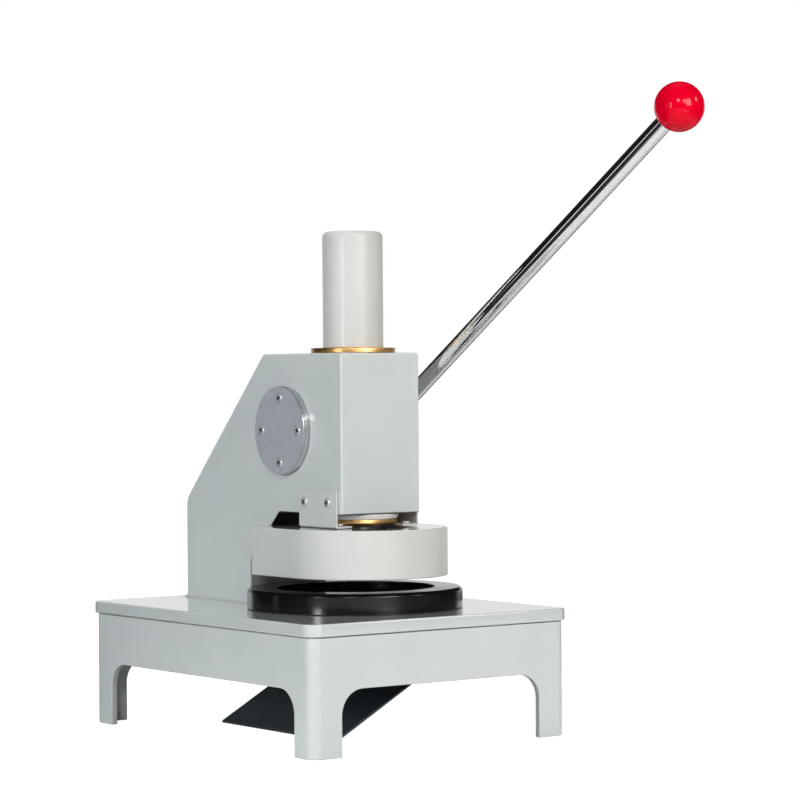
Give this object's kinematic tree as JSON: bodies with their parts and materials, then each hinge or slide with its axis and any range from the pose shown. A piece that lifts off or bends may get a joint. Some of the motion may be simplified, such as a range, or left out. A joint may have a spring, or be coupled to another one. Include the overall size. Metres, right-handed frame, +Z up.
{
  "type": "round sample cutter",
  "caption": "Bench press for cutting round paper samples: a forward lever turns a pinion that drives a ram and punch through a die ring on a legged table, with a finger guard and chute.",
  "frame": {"origin": "centre of the whole object's footprint, on the floor under the legs", "axes": "+Z up, +Y from the lever's ball to the rear of the frame, +X to the lever's side, the right of a user who faces the die"},
  "size_m": [0.222, 0.487, 0.4393],
  "materials": {
    "enamel": "light grey-green gloss enamel",
    "guard_enamel": "warm light grey gloss enamel",
    "black_steel": "semi-gloss black oxide on ground steel",
    "navy_sheet": "dark navy-black painted sheet steel",
    "brass": "turned brass",
    "turned_steel": "satin turned steel",
    "ground_steel": "fine ground steel",
    "tool_steel": "ground hardened tool steel",
    "dark_steel": "black oxide steel",
    "chrome": "bright chrome plate",
    "zinc": "bright zinc plate",
    "spring_steel": "oiled spring steel",
    "bronze": "plain bearing bronze",
    "white_nylon": "natural white nylon",
    "red_phenolic": "polished red phenolic"
  },
  "bodies": {
    "base": {"base_plate": "enamel", "base_skirt": "enamel", "press_frame": "enamel", "die_ring": "black_steel", "sample_chute": "navy_sheet", "upper_bush": "brass", "lower_bush": "brass", "bush_spacer": "white_nylon", "dust_cover": "guard_enamel", "return_spring": "spring_steel", "left_bearing": "turned_steel", "cover_disc": "turned_steel", "right_bearing": "bronze", "punch_guard": "guard_enamel", "guard_bracket_left": "guard_enamel", "guard_bracket_right": "guard_enamel", "guard_screw_left": "zinc", "guard_screw_right": "zinc", "table_screw_front_left": "dark_steel", "table_screw_front_right": "dark_steel", "table_screw_rear_left": "dark_steel", "table_screw_rear_right": "dark_steel", "frame_bolt_front_left": "dark_steel", "frame_bolt_front_right": "dark_steel", "frame_bolt_rear_left": "dark_steel", "frame_bolt_rear_right": "dark_steel", "die_screw_front_left": "dark_steel", "die_screw_front_right": "dark_steel", "die_screw_rear_left": "dark_steel", "die_screw_rear_right": "dark_steel", "chute_screw_front": "dark_steel", "chute_screw_rear": "dark_steel", "cover_screw_top": "zinc", "cover_screw_front": "zinc", "cover_screw_bottom": "zinc", "cover_screw_rear": "zinc", "bracket_screw_left_front": "zinc", "bracket_screw_left_rear": "zinc", "bracket_screw_right_front": "zinc", "bracket_screw_right_rear": "zinc"},
    "lever": {"pinion_shaft": "ground_steel", "lever_hub": "chrome", "hub_key": "tool_steel", "hub_washer": "zinc", "hub_screw": "zinc", "lever_rod": "chrome", "ball_knob": "red_phenolic"},
    "ram_group": {"ram": "ground_steel", "spring_retainer": "dark_steel", "retainer_bolt": "zinc", "punch_holder": "dark_steel", "punch_disc": "tool_steel", "holder_bolt": "dark_steel", "punch_screw_front": "zinc", "punch_screw_right": "zinc", "punch_screw_rear": "zinc", "punch_screw_left": "zinc"}
  },
  "joints": [
    {"name": "lever_pull", "type": "hinge", "parent": "base", "child": "lever", "pos_m": [0, 0.09904, 0.2152], "axis": [1, 0, 0], "range_deg": [0, 58]},
    {"name": "ram_slide", "type": "slide", "parent": "base", "child": "ram_group", "axis": [0, 0, -1], "range_m": [0, 0.01725], "stiffness_N_per_m": 1500, "springref_m": -0.045, "deforming": ["return_spring"]}
  ],
  "couplings": [
    {"joint": "ram_slide", "follows": "lever_pull", "m_per_rad": 0.017}
  ]
}
